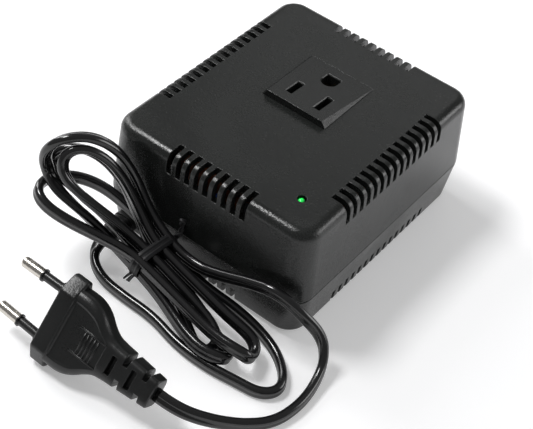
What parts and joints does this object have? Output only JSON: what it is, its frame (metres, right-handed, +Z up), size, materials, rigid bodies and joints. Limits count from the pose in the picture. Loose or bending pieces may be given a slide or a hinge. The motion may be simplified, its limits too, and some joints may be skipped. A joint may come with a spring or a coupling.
{
  "type": "travel voltage converter",
  "caption": "Vented plastic box with a raised outlet wedge and a lamp, a ring transformer inside, and a flat lead tied in a hank that ends in a round-pin plug.",
  "frame": {"origin": "on the floor under the middle of the case", "axes": "+X to the right seen from the lead's face, +Y from that face to the back, +Z up"},
  "size_m": [0.1184, 0.1726, 0.0573],
  "materials": {
    "case_plastic": "fine moulded grain",
    "outlet_plastic": "smooth satin",
    "carrier_plastic": "smooth",
    "contact_brass": "stamped",
    "screw_steel": "blackened steel",
    "foot_rubber": "matte",
    "lamp_lens": "clear green lens",
    "lamp_board": "paper laminate",
    "resistor_body": "lacquered",
    "lamp_lead": "pvc",
    "core_steel": "edge of wound strip",
    "winding_wire": "enamelled copper wire",
    "wrap_film": "polyester film",
    "pad_rubber": "matte",
    "plated_steel": "zinc plated",
    "cutout_plastic": "matte",
    "strap_plastic": "nylon",
    "splice_plastic": "vinyl",
    "lead_blue": "pvc",
    "lead_brown": "pvc",
    "lead_black": "pvc",
    "lead_white": "pvc",
    "bushing_plastic": "soft pvc",
    "cord_plastic": "glossy pvc",
    "tie_plastic": "paper and plastic twist tie",
    "plug_plastic": "moulded pvc",
    "bridge_plastic": "hard moulding",
    "sleeve_plastic": "smooth",
    "pin_nickel": "nickel plated"
  },
  "bodies": {
    "root": {"bottom_tray": "case_plastic", "top_cover": "case_plastic", "outlet_insert": "outlet_plastic", "contact_carrier": "carrier_plastic", "line_contact": "contact_brass", "neutral_contact": "contact_brass", "ground_contact": "contact_brass", "case_screws": "screw_steel", "carrier_screws": "screw_steel", "feet": "foot_rubber", "led_lens": "lamp_lens", "led_board": "lamp_board", "led_resistor": "resistor_body", "lamp_leads": "lamp_lead", "core": "core_steel", "winding": "winding_wire", "winding_wrap": "wrap_film", "pad_lower": "pad_rubber", "pad_upper": "pad_rubber", "clamp_plate": "plated_steel", "nut_washer": "plated_steel", "centre_nut": "plated_steel", "centre_bolt": "plated_steel", "thermal_cutout": "cutout_plastic", "cutout_strap": "strap_plastic", "splice_caps": "splice_plastic", "input_lead_blue": "lead_blue", "input_lead_brown": "lead_brown", "output_lead_line": "lead_black", "output_lead_neutral": "lead_white", "cord_bushing": "bushing_plastic", "cord_box_end": "cord_plastic", "cord_hank": "cord_plastic", "cord_plug_end": "cord_plastic", "cord_tie": "tie_plastic", "plug_body": "plug_plastic", "pin_carrier": "bridge_plastic", "pin_sleeves": "sleeve_plastic", "plug_pins": "pin_nickel"}
  },
  "joints": []
}
